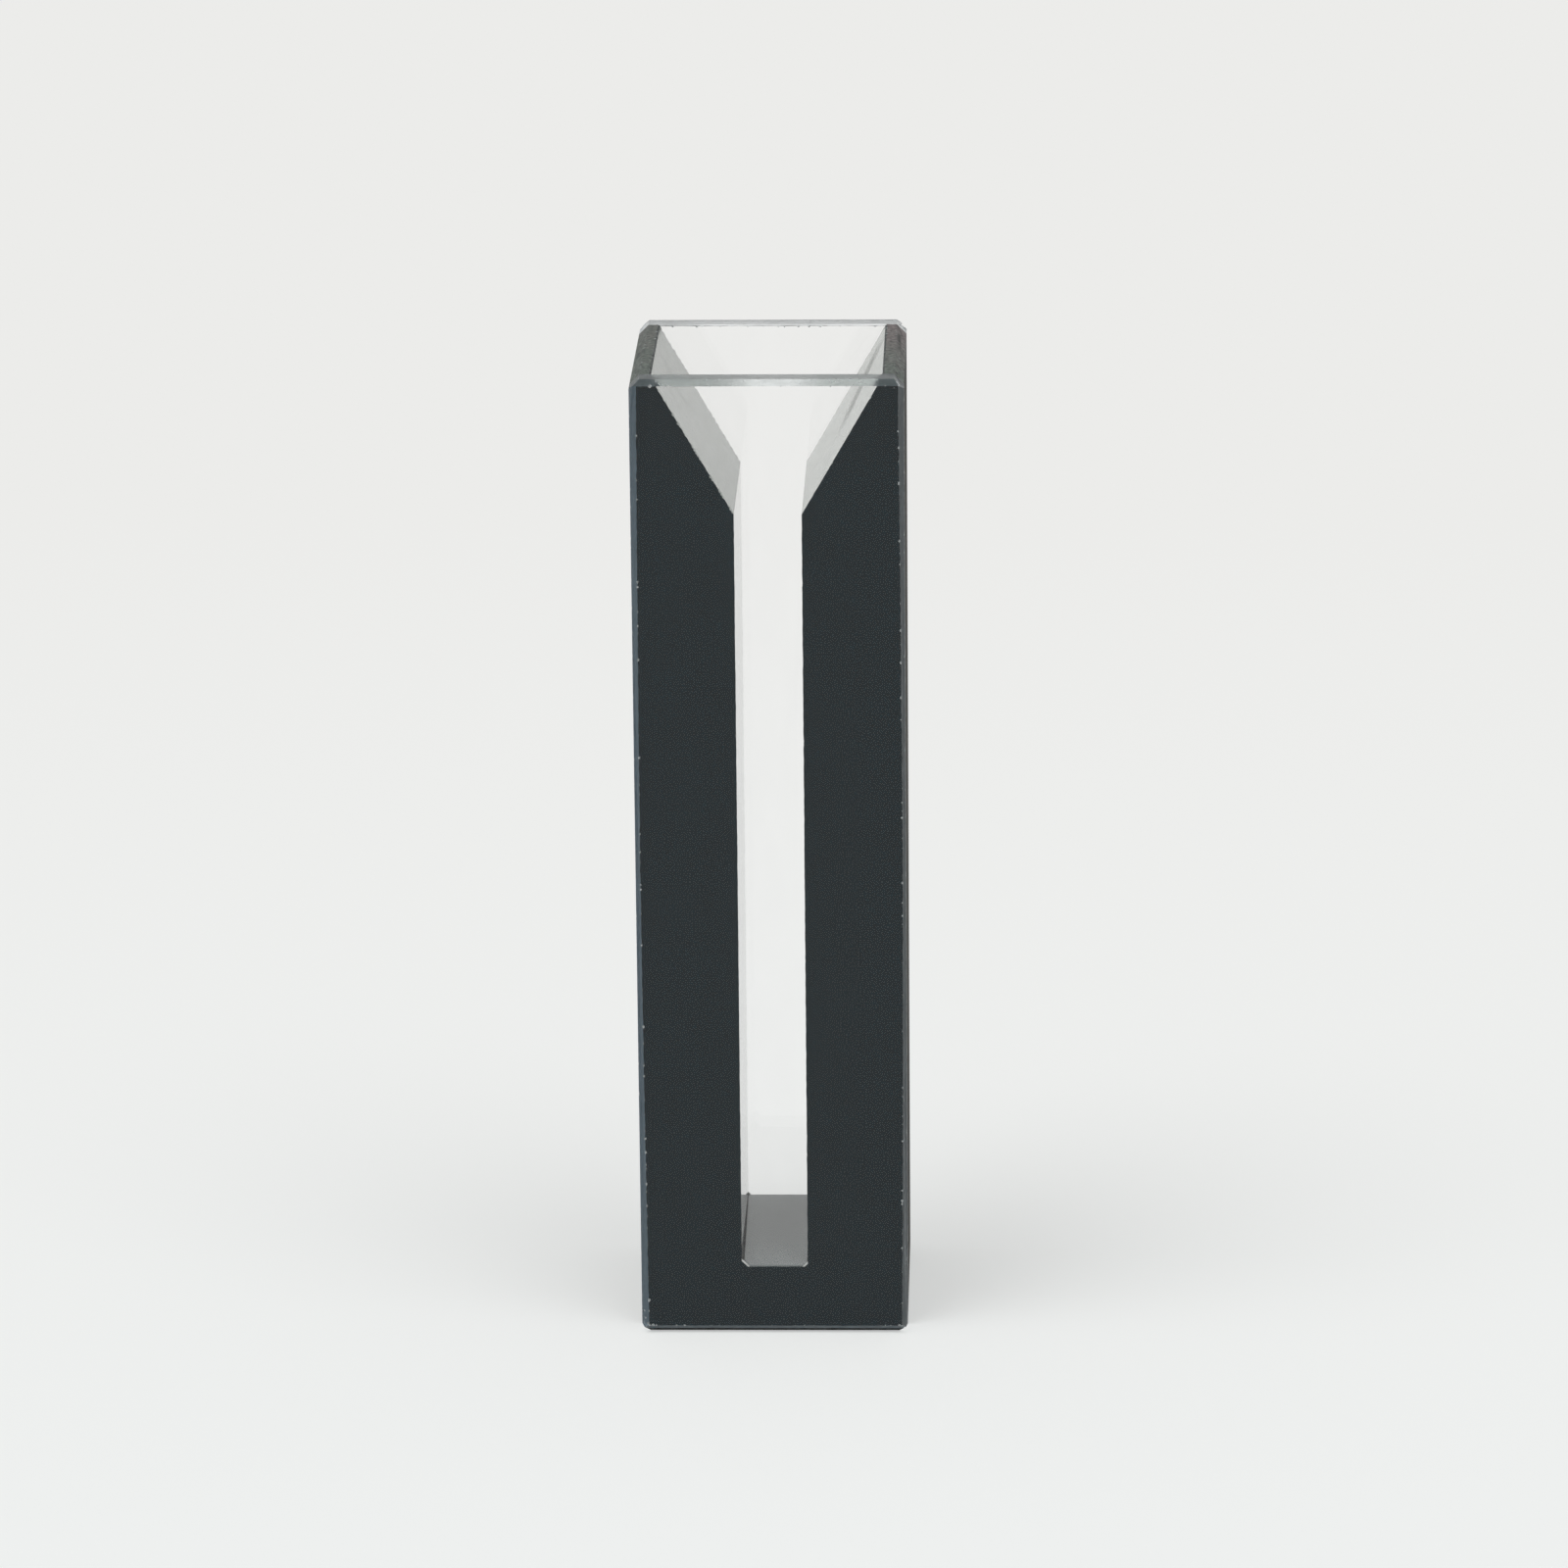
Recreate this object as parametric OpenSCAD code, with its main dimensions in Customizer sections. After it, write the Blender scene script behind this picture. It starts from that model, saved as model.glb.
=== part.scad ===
// Black-walled spectrophotometer cell with a narrow sample slot.
// Two clear polished windows are fused to two opaque side walls and to a floor
// block between them. The walls' upper inner corners are ground away, so that
// the slot opens into a wedge-shaped filling funnel.
//
// X runs across the slot, Y along the light path from the front window to the
// rear one, and Z up. The origin is the centre of the base. Sizes are in mm.

/* [Block] */
// Outside width, across the slot
body_w = 12.5; // [12.2:0.1:14]
// Outside height
body_h = 46; // [35:0.5:60]
// Length of the light path, between the windows' inner faces
light_path = 10; // [5:0.5:20]
// Thickness of each clear window
window_t = 1.25; // [1:0.05:2]

/* [Slot and funnel] */
// Width of the sample slot between the two side walls
slot_w = 3.1; // [2:0.1:5]
// Height of the block that closes the slot at the bottom
floor_t = 3.1; // [1.5:0.1:12]
// Width of the funnel's mouth, across the slot
funnel_w = 10.6; // [8:0.1:10.8]
// Lean of each funnel face from the vertical, in degrees
funnel_lean = 30; // [20:1:45]

/* [Ground edges] */
// Bevel on the four upright outer edges
upright_bevel = 0.3; // [0.1:0.05:0.5]
// Bevel on the windows' outer top edges
window_top_bevel = 0.27; // [0.1:0.01:0.5]
// Bevel on the side walls' outer top edges
wall_top_bevel = 0.45; // [0.1:0.05:0.5]
// Bevel on the four outer edges round the base
base_bevel = 0.4; // [0.1:0.05:0.6]
// Fine bevel that takes the sharpness off the inner top edges
arris = 0.1; // [0.05:0.01:0.15]

/* [Hidden] */

body_d = light_path + 2 * window_t;
funnel_depth = (funnel_w - slot_w) / 2 / tan(funnel_lean);
knee_z = body_h - funnel_depth;

clear_glass = [0.84, 0.90, 0.90, 0.4];
black_glass = [0.13, 0.15, 0.17];

// Outline of a piece seen from one side: w wide about the Y axis and h high from
// the X axis, with its lower corners cut by low_cut and its upper ones by top_cut
module cut_corners(w, h, low_cut, top_cut) {
    polygon([
        [low_cut - w / 2, 0], [w / 2 - low_cut, 0],
        [w / 2, low_cut], [w / 2, h - top_cut],
        [w / 2 - top_cut, h], [top_cut - w / 2, h],
        [-w / 2, h - top_cut], [-w / 2, low_cut]
    ]);
}

// Stands a profile drawn in X and Z upright, length long and centred along Y
module along_y(length) {
    translate([0, length / 2, 0])
        rotate([90, 0, 0])
            linear_extrude(length)
                children();
}

// Stands a profile drawn in Y and Z upright, length long and centred along X
module along_x(length) {
    translate([-length / 2, 0, 0])
        rotate([90, 0, 90])
            linear_extrude(length)
                children();
}

// The fused block's outside, as it is after its twelve outer edges are ground
module ground_block() {
    intersection() {
        along_y(body_d)
            cut_corners(body_w, body_h, base_bevel, wall_top_bevel);
        along_x(body_w)
            cut_corners(body_d, body_h, base_bevel, window_top_bevel);
        linear_extrude(body_h)
            translate([0, -body_d / 2])
                cut_corners(body_w, body_d, upright_bevel, upright_bevel);
    }
}

// Section of the rear window in Y and Z, with the fine bevel on its inner top edge
module window_section() {
    inner_y = light_path / 2;
    polygon([
        [inner_y, 0], [inner_y + window_t, 0],
        [inner_y + window_t, body_h], [inner_y + arris, body_h],
        [inner_y, body_h - arris]
    ]);
}

// Section of the right wall in X and Z: upright beside the slot, then leaning out
// from the knee to the funnel's mouth, with the fine bevel on that top edge
module wall_section() {
    polygon([
        [slot_w / 2, 0], [body_w / 2, 0],
        [body_w / 2, body_h], [funnel_w / 2 + arris, body_h],
        [funnel_w / 2 - arris * tan(funnel_lean), body_h - arris],
        [slot_w / 2, knee_z]
    ]);
}

// Section of the floor block, w wide, with the fine bevel on both top edges
module floor_section(w) {
    polygon([
        [-w / 2, 0], [w / 2, 0],
        [w / 2, floor_t - arris], [w / 2 - arris, floor_t],
        [arris - w / 2, floor_t], [-w / 2, floor_t - arris]
    ]);
}

// A clear window, at the rear; the front one is its mirror image
module window_plate() {
    intersection() {
        ground_block();
        along_x(body_w) window_section();
    }
}

// An opaque side wall, on the right; the left one is its mirror image
module side_wall() {
    intersection() {
        ground_block();
        along_y(light_path) wall_section();
    }
}

module rear_window() {
    color(clear_glass) window_plate();
}

module front_window() {
    color(clear_glass) mirror([0, 1, 0]) window_plate();
}

module right_wall() {
    color(black_glass) side_wall();
}

module left_wall() {
    color(black_glass) mirror([1, 0, 0]) side_wall();
}

// The opaque block between the walls and windows that the sample stands on, with
// a fine groove left all round its top by the bevel
module floor_block() {
    color(black_glass)
        intersection() {
            along_x(slot_w) floor_section(light_path);
            along_y(light_path) floor_section(slot_w);
        }
}

front_window();
rear_window();
left_wall();
right_wall();
floor_block();
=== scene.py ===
"""A black-walled spectrophotometer cell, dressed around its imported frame.

Two clear quartz windows are fused to two black quartz walls and to a black floor
block between them. The walls' upper inner corners are ground away, which makes a
wedge-shaped funnel over a narrow slot. The fused block's outer edges are ground
to bevels, and its two windows are polished.

The mesh code works in millimetres: X across the slot, Y along the light path from
the front window to the rear one, and Z up. TO_METRES turns it into metres.
"""

import itertools
import math
import random

import bmesh
import bpy
from bpy.props import (
    FloatProperty,
    FloatVectorProperty,
    IntProperty,
    PointerProperty,
)
from mathutils import Matrix, Vector, noise


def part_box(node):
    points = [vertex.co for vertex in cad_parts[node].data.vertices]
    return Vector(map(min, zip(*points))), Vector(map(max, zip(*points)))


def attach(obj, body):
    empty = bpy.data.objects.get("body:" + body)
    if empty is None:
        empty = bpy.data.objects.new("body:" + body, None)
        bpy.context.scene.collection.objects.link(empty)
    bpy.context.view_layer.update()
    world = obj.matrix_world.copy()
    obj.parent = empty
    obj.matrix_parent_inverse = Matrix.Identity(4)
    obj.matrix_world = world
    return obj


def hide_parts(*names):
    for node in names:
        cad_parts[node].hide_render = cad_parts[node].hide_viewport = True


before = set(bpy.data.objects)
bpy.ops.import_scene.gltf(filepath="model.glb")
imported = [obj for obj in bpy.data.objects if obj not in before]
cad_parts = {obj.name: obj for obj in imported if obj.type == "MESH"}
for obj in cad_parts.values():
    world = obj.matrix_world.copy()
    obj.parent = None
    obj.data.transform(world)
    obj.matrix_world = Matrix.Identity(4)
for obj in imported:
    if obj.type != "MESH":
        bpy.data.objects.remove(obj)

bl_info = {
    "name": "Black-walled quartz cell",
    "version": (1, 0, 0),
    "blender": (4, 5, 0),
    "location": "3D View > Sidebar > Cell",
    "description": "Builds the looks of a black-walled quartz cell around its frame",
    "category": "Add Mesh",
}

MM = 1000.0  # millimetres in a metre
GAP = 0.002  # left between pieces that are fused, so that no two faces coincide
STEP = 0.12  # length of one segment along a ground edge
FOOT_Z = 0.2  # how far up the windows' feet are worn to a steeper facet, painted dark as shade
FRONT, REAR = 11, 23  # seeds of the two windows' wear

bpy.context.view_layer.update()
FRONT_BOX = [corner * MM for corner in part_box("front_window")]
RIGHT_BOX = [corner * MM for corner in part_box("right_wall")]
FLOOR_BOX = [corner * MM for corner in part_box("floor_block")]
HALF_W = FRONT_BOX[1].x
HALF_D = -FRONT_BOX[0].y
HALF_PATH = -FRONT_BOX[1].y
HEIGHT = FRONT_BOX[1].z
HALF_SLOT = RIGHT_BOX[0].x
FLOOR_TOP = FLOOR_BOX[1].z


def linear(hex_colour):
    """The linear red, green and blue of an sRGB colour written as #RRGGBB."""
    parts = [int(hex_colour[k : k + 2], 16) / 255 for k in (1, 3, 5)]
    return tuple(
        p / 12.92 if p <= 0.04045 else ((p + 0.055) / 1.055) ** 2.4 for p in parts
    )


# ---------------------------------------------------------------- settings


def length(name, description, millimetres):
    """A length property with its default given in millimetres."""
    return FloatProperty(
        name=name,
        description=description,
        default=millimetres / MM,
        min=0.0,
        unit="LENGTH",
        precision=5,
    )


def colour(name, description, hex_colour):
    """A colour property with its default given as an sRGB hex value."""
    return FloatVectorProperty(
        name=name,
        description=description,
        default=linear(hex_colour),
        min=0.0,
        max=1.0,
        size=3,
        subtype="COLOR",
    )


class CellSizes(bpy.types.PropertyGroup):
    """Sizes that the frame's boxes don't give."""

    upright_bevel: length("Upright bevel", "Bevel at the ends of upright edges", 0.31)
    upright_lean: length(
        "Upright difference", "How much wider left bevels are, and right narrower", 0.04
    )
    upright_waist: length(
        "Upright waist", "How much narrower upright bevels are at mid-height", 0.12
    )
    window_top_bevel: length(
        "Window top bevel", "Bevel on the windows' outer top edges", 0.27
    )
    wall_top_bevel: length(
        "Wall top bevel", "Bevel on the walls' outer top edges", 0.45
    )
    base_bevel: length("Base bevel", "Bevel on the outer edges round the base", 0.4)
    arris: length("Arris", "Fine bevel on the inner top edges", 0.06)
    floor_arris: length("Floor arris", "Fine bevel round the top of the floor", 0.06)
    funnel_width: length("Funnel width", "Width of the funnel's mouth", 10.6)
    funnel_lean: FloatProperty(
        name="Funnel lean",
        description="Lean of each funnel face from the vertical",
        default=math.radians(30),
        min=math.radians(10),
        max=math.radians(60),
        subtype="ANGLE",
    )


class CellWear(bpy.types.PropertyGroup):
    """How far the ground edges stray, and how they are chipped."""

    stray: length("Stray", "How far a ground edge strays from its line", 0.02)
    nick: length("Nick", "Deepest nick along the funnel's edges", 0.08)
    chip: length("Chip", "Radius of the largest chip on the outer edges", 0.08)
    spacing: length("Chip spacing", "Length of edge that has one chip", 0.45)
    seed: IntProperty(
        name="Seed", description="Seed of every nick and chip", default=3, min=0
    )


class CellColours(bpy.types.PropertyGroup):
    """Colours of the two quartzes, of what is left by grinding them, and of some
    painted light and shade.
    """

    clear: colour("Clear quartz", "Tint of the clear windows", "#FFFFFF")
    ground: colour("Ground quartz", "Frosted edges of the windows", "#F2F4F6")
    top_bevel: colour("Top bevel", "Finer bevels at the windows' tops", "#F0F4F4")
    left_bevel: colour("Left bevels", "Bluish bevels on the left edges", "#D2E8FA")
    right_bevel: colour("Right bevels", "Bevels on the right edges", "#DADBDC")
    base_bevel: colour("Base bevel", "Duller bevels along the base", "#C4D2DC")
    sheen: colour("Sheen", "Tint of what frosted quartz reflects", "#E8FCFF")
    # the foot's dark colour is painted shade, where the cell meets the floor
    foot_shade: colour("Foot shade", "Dark line along the foot of the cell", "#0C1112")
    joint: colour("Fused joint", "Black quartz seen through a window", "#00181F")
    bead: colour("Fused bead", "Pale bead in the corners of the slot", "#DDE0DE")
    # the slopes are one black quartz: the right one's paler colour is painted light,
    # added to the left lamp's greater share on it
    lapped_left: colour("Left slope", "Fine-lapped left slope", "#8A908B")
    lapped_right: colour("Right slope", "Fine-lapped right slope", "#A2A8A3")
    # the slot sides' pale grey is painted reflection, added to the room they really
    # mirror
    slot: colour("Polished black", "Polished sides of the slot", "#8E908C")
    floor: colour("Lapped floor", "Rear of the slot's fine-lapped floor", "#868E8E")
    floor_front: colour("Floor's front", "Front of the slot's floor", "#525A5A")
    # the colour of the darker, duller streaks laid on the slopes where they are given
    smear: colour("Smear", "Dull smears that lapping leaves on the slopes", "#3B3936")
    land: colour("Ground land", "Greenish parts of the walls' ground tops", "#4A544C")
    land_worn: colour("Worn land", "Brownish parts of the walls' tops", "#695D5D")
    side: colour("Ground side", "Ground sides and base of the walls", "#404344")
    side_worn: colour("Worn side", "Paler grinding marks on the sides", "#534F4B")
    pit: colour("Pit", "Small pits in ground black quartz", "#141818")
    arris: colour("Black arris", "Fine bevel between land and slope", "#3C4240")
    chip_clear: colour("Clear chip", "Chips in the windows' edges", "#D8DDDD")
    chip_black: colour("Black chip", "Chips in the walls' edges", "#9EA3A4")


class CellStage(bpy.types.PropertyGroup):
    """Floor, light and camera."""

    floor: colour("Floor", "Colour of the pale floor, well behind the cell", "#ECECEA")
    near_floor: colour("Near floor", "Colour of the floor in front of it", "#EFF1F0")
    room: colour("Room", "Pale room that glass and shiny faces show", "#EDEEED")
    light: FloatProperty(
        name="Light",
        description="Light on the floor, as a share of what shows white as white",
        default=1.0,
        min=0.0,
        max=2.0,
        subtype="FACTOR",
    )
    glow: FloatProperty(
        name="Floor glow",
        description="Share of the floor's paleness that no shadow takes away",
        default=0.46,
        min=0.0,
        max=1.0,
        subtype="FACTOR",
    )


# ------------------------------------------------------------------- nodes


def node(tree, kind, links=(), **settings):
    """Adds a node to a tree, with its settings, and values or links for its sockets.

    The sockets are given by name, or all in order. Where a node is given for one,
    the first output that it shows is linked.
    """
    made = tree.nodes.new(kind)
    for name, value in settings.items():
        setattr(made, name, value)
    for name, value in links.items() if isinstance(links, dict) else enumerate(links):
        if isinstance(value, bpy.types.Node):
            value = next(out for out in value.outputs if out.enabled)
        if isinstance(value, bpy.types.NodeSocket):
            tree.links.new(value, made.inputs[name])
        else:
            made.inputs[name].default_value = value
    return made


def new_material(name):
    """A new material with an empty tree."""
    made = bpy.data.materials.new(name)
    made.use_nodes = True
    made.node_tree.nodes.clear()
    return made, made.node_tree


def rgba(rgb):
    """A colour as a socket takes it, with an alpha of 1."""
    return (*rgb, 1.0)


def dimmed(rgb, share):
    """A colour at that share of its strength, or stronger where it is over 1."""
    return tuple(share * part for part in rgb)


def speckled(tree, size, low, high, detail=2.0, stretch=(1, 1, 1)):
    """A 0 to 1 pattern of patches about that many millimetres across."""
    place = node(tree, "ShaderNodeTexCoord").outputs["Object"]
    spread = node(tree, "ShaderNodeMapping", {"Vector": place, "Scale": stretch})
    cloud = {"Vector": spread, "Scale": MM / size, "Detail": detail, "Roughness": 0.6}
    patches = node(tree, "ShaderNodeTexNoise", cloud)
    fade = {"Value": patches, "From Min": low, "From Max": high}
    return node(tree, "ShaderNodeMapRange", fade)


def rings(tree, centre, apart):
    """A pattern of uneven rings round a place and that far apart, in millimetres."""
    place = node(tree, "ShaderNodeTexCoord").outputs["Object"], Vector(centre) / MM
    waves = {
        "Vector": node(tree, "ShaderNodeVectorMath", place, operation="SUBTRACT"),
        # a ring texture of scale 1 has 20 radians to the metre
        "Scale": math.tau / 20 * MM / apart,
        "Distortion": 3.0,
        "Detail": 2.0,
        "Detail Scale": 0.6,
    }
    kind = {"wave_type": "RINGS", "rings_direction": "SPHERICAL"}
    return node(tree, "ShaderNodeTexWave", waves, **kind).outputs["Fac"]


def smear(tree, start, stop, facing, width):
    """A soft 0 to 1 streak between two places on a flat face, in millimetres."""
    start, run = Vector(start), Vector(stop) - Vector(start)
    half = run.length / 2
    lengthwise = run.normalized()
    crosswise = lengthwise.cross(Vector(facing))
    place = node(tree, "ShaderNodeTexCoord").outputs["Object"], start / MM
    place = node(tree, "ShaderNodeVectorMath", place, operation="SUBTRACT")
    fades = []
    # for each way: the streak's middle, and where it starts and ends to fade
    for way, middle, full, gone in (
        (lengthwise, half, 0.4 * half, 1.3 * half),
        (crosswise, 0.0, 0.0, width),
    ):
        ways = place, way * MM
        off = node(tree, "ShaderNodeVectorMath", ways, operation="DOT_PRODUCT")
        off = node(tree, "ShaderNodeMath", (off, middle), operation="SUBTRACT")
        off = node(tree, "ShaderNodeMath", (off,), operation="ABSOLUTE")
        # the first five sockets: what fades, its span, and what it fades between
        fade = off, full, gone, 1.0, 0.0
        soft = {"interpolation_type": "SMOOTHSTEP"}
        fades.append(node(tree, "ShaderNodeMapRange", fade, **soft))
    return node(tree, "ShaderNodeMath", fades, operation="MULTIPLY")


def smeared(tree, pattern, smears, facing):
    """The larger of a pattern and of each smear: start, stop, width and strength."""
    for start, stop, width, strength in smears:
        here = smear(tree, start, stop, facing, width), strength
        here = node(tree, "ShaderNodeMath", here, operation="MULTIPLY")
        pattern = node(tree, "ShaderNodeMath", (pattern, here), operation="MAXIMUM")
    return pattern


def along(tree, axis, low, high):
    """0 at one place along an axis and 1 at another, both in millimetres."""
    place = node(tree, "ShaderNodeTexCoord").outputs["Object"]
    there = node(tree, "ShaderNodeSeparateXYZ", {"Vector": place}).outputs[axis]
    fade = {"Value": there, "From Min": low / MM, "From Max": high / MM}
    return node(tree, "ShaderNodeMapRange", fade)


def outer_line(tree, off_centre, reach, sway, strength):
    """A soft line along Y, that far to either side of the middle, in millimetres.

    It fades from its strength to 0 within its reach, and a 0 to 1 pattern sways it
    by up to as much.
    """
    place = node(tree, "ShaderNodeTexCoord").outputs["Object"]
    off = node(tree, "ShaderNodeSeparateXYZ", {"Vector": place}).outputs["X"]
    off = node(tree, "ShaderNodeMath", (off,), operation="ABSOLUTE")
    inner, outer = (off_centre - reach) / MM, (off_centre + reach) / MM
    swayed = {"Value": sway, "To Min": inner, "To Max": outer}
    swayed = node(tree, "ShaderNodeMapRange", swayed)
    off = node(tree, "ShaderNodeMath", (off, swayed), operation="SUBTRACT")
    off = node(tree, "ShaderNodeMath", (off,), operation="ABSOLUTE")
    fade = {"Value": off, "From Max": reach / MM, "To Min": strength, "To Max": 0.0}
    return node(tree, "ShaderNodeMapRange", fade)


def coated(tree, ground, *coats):
    """A colour under its coats: each is a 0 to 1 pattern and the colour it brings."""
    tint = rgba(ground)
    for pattern, coat in coats:
        # a Mix node's two colours are its sockets 6 and 7
        mix = {"Factor": pattern, 6: tint, 7: rgba(coat)}
        tint = node(tree, "ShaderNodeMix", mix, data_type="RGBA")
    return tint


def finish_with(
    tree, tint, rough, relief=None, lamps=None, clear=0.0, shine=0.5, sheen=(1, 1, 1)
):
    """Ends a quartz's tree in a Principled shader of that colour and roughness.

    rough is a number, or a 0 to 1 pattern with the roughness at its 0 and at its 1.
    relief is a 0 to 1 height with its strength and its depth in millimetres. clear
    is how much light passes, and shine and sheen are the strength and the tint of
    what the face mirrors. With lamps, lamps shine through the glass in that colour.
    Path tracing leaves them out otherwise, and what is behind the glass would be in
    its shadow.
    """
    if isinstance(rough, tuple):
        span = dict(zip(("Value", "To Min", "To Max"), rough))
        rough = node(tree, "ShaderNodeMapRange", span)
    sockets = {
        "Base Color": tint,
        "Roughness": rough,
        "IOR": QUARTZ_IOR,
        "Transmission Weight": clear,
        "Specular IOR Level": shine,
        "Specular Tint": rgba(sheen),
    }
    if relief:
        height, strength, depth = relief
        bumps = {"Height": height, "Strength": strength, "Distance": depth / MM}
        sockets["Normal"] = node(tree, "ShaderNodeBump", bumps)
    surface = node(tree, "ShaderNodeBsdfPrincipled", sockets)
    if lamps:
        in_shadow = node(tree, "ShaderNodeLightPath").outputs["Is Shadow Ray"]
        passing = node(tree, "ShaderNodeBsdfTransparent", {"Color": rgba(lamps)})
        surface = node(tree, "ShaderNodeMixShader", (in_shadow, surface, passing))
    node(tree, "ShaderNodeOutputMaterial", {"Surface": surface})


# --------------------------------------------------------------- materials

QUARTZ_IOR = 1.458


def polished_clear_quartz(hues):
    """Fused quartz with a polished face: mirror smooth, with faint wipe marks."""
    made, tree = new_material("polished_clear_quartz")
    wiped = speckled(tree, 1.2, 0.4, 0.7, detail=3.0, stretch=(1, 1, 0.3))
    tint = coated(tree, hues.clear, (wiped, dimmed(hues.clear, 0.985)))
    finish_with(tree, tint, 0.0, lamps=(0.97, 0.97, 0.97), clear=1.0)
    return made


def ground_clear_quartz(
    name, sheen, left, right, clear, shine=0.5, smoothest=0.35, lines=None
):
    """Fused quartz as a diamond wheel leaves it: frosted, scattering what shines in.

    left and right are its colours at its two ends, and lines stretches the frost
    into the wheel's lines. The grit marks are about 0.03 mm, and are drawn at
    0.12 mm so that they show.
    """
    made, tree = new_material(name)
    if lines:
        frost = speckled(tree, 0.2, 0.3, 0.7, detail=3.0, stretch=lines)
    else:
        frost = speckled(tree, 0.5, 0.35, 0.65, detail=4.0, stretch=(0.4, 1, 0.7))
    rough = (frost, smoothest + 0.2, smoothest)
    relief = (speckled(tree, 0.12, 0.3, 0.7, detail=1.0), 0.5, 0.02)
    shade = {"Value": frost, "To Min": 0.86, "To Max": 1.08}
    tint = {
        "Value": node(tree, "ShaderNodeMapRange", shade),
        "Color": coated(tree, left, (along(tree, "X", -HALF_W, HALF_W), right)),
    }
    tint = node(tree, "ShaderNodeHueSaturation", tint)
    finish_with(tree, tint, rough, relief, (0.75, 0.76, 0.77), clear, shine, sheen)
    return made


def foot_shade_quartz(hues):
    """The worn foot of the windows, painted dark in mottled patches: painted contact
    shade where the cell meets the floor.
    """
    made, tree = new_material("foot_shade_quartz")
    foot_mottle = speckled(tree, 0.25, 0.35, 0.65, detail=3.0)
    tint = coated(tree, hues.foot_shade, (foot_mottle, dimmed(hues.foot_shade, 3.0)))
    finish_with(tree, tint, (foot_mottle, 0.9, 0.6), (foot_mottle, 0.5, 0.02), shine=0.2)
    return made


def fused_black_joint(hues):
    """Black quartz fused to a window: no gap between them, so only its depth shows."""
    made, tree = new_material("fused_black_joint")
    depth = (speckled(tree, 2.5, 0.3, 0.7), hues.joint)
    near_top = (along(tree, "Z", 41, 44), dimmed(hues.joint, 0.7))
    tint = coated(tree, dimmed(hues.joint, 0.85), depth, near_top)
    finish_with(tree, tint, 1.0, shine=0.0)
    return made


def fused_bead(hues):
    """The pale bead that fusing leaves in a corner, full of small bubbles."""
    made, tree = new_material("fused_bead")
    bubbles = speckled(tree, 0.1, 0.35, 0.65)
    finish_with(tree, coated(tree, dimmed(hues.bead, 0.6), (bubbles, hues.bead)), 0.5)
    return made


def lapped_black_quartz(name, front, rear, smear_hue, smoothest, smears=(), shine=0.5):
    """Black quartz lapped with fine grit: satin, and a mirror at a low angle.

    front and rear are its colours at its two ends. Lapping leaves soft streaks a few
    millimetres long and faint arcs, and smears lays darker, duller streaks over them.
    """
    made, tree = new_material(name)
    streaks = speckled(tree, 0.8, 0.35, 0.7, detail=3.0, stretch=(1, 0.3, 1))
    arcs = {"Value": rings(tree, (0, 9, 49), 0.7), "From Min": 0.6, "To Max": 0.06}
    arcs = node(tree, "ShaderNodeMapRange", arcs)
    patches = speckled(tree, 2.0, 0.4, 0.6)
    patchy = node(tree, "ShaderNodeMath", (arcs, patches), operation="MULTIPLY")
    dull = streaks, 0.08, patchy
    dull = node(tree, "ShaderNodeMath", dull, operation="MULTIPLY_ADD")
    dull = smeared(tree, dull, smears, (1, 0, 0))
    rearward = along(tree, "Y", -HALF_PATH, HALF_PATH)
    tint = coated(tree, front, (rearward, rear), (dull, smear_hue))
    relief = (speckled(tree, 0.12, 0.3, 0.7, detail=1.0), 0.1, 0.01)
    finish_with(tree, tint, (dull, smoothest, 0.6), relief, shine=shine)
    return made


def polished_black_quartz(hues):
    """Black quartz polished as a cuvette's sample side is: nearly a mirror. Its pale
    grey colour adds a painted reflection to what it mirrors.
    """
    made, tree = new_material("polished_black_quartz")
    haze = speckled(tree, 1.5, 0.35, 0.7, detail=3.0, stretch=(1, 1, 0.3))
    tint = coated(tree, hues.slot, (haze, dimmed(hues.slot, 0.9)))
    finish_with(tree, tint, (haze, 0.02, 0.04))
    return made


def ground_black_quartz(hues):
    """Black quartz as the wheel leaves it: matt, in soft patches with small pits.

    The grit marks are about 0.03 mm, and are drawn at 0.15 mm so that they show.
    """
    made, tree = new_material("ground_black_quartz")
    patches = (speckled(tree, 0.5, 0.36, 0.64, detail=4.0), hues.side_worn)
    pits = speckled(tree, 0.2, 0.6, 0.72, detail=3.0)
    relief = (speckled(tree, 0.15, 0.3, 0.7, detail=1.0), 0.6, 0.02)
    tint = coated(tree, hues.side, patches, (pits, hues.pit))
    finish_with(tree, tint, (pits, 0.7, 0.9), relief, shine=0.03)
    return made


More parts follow.
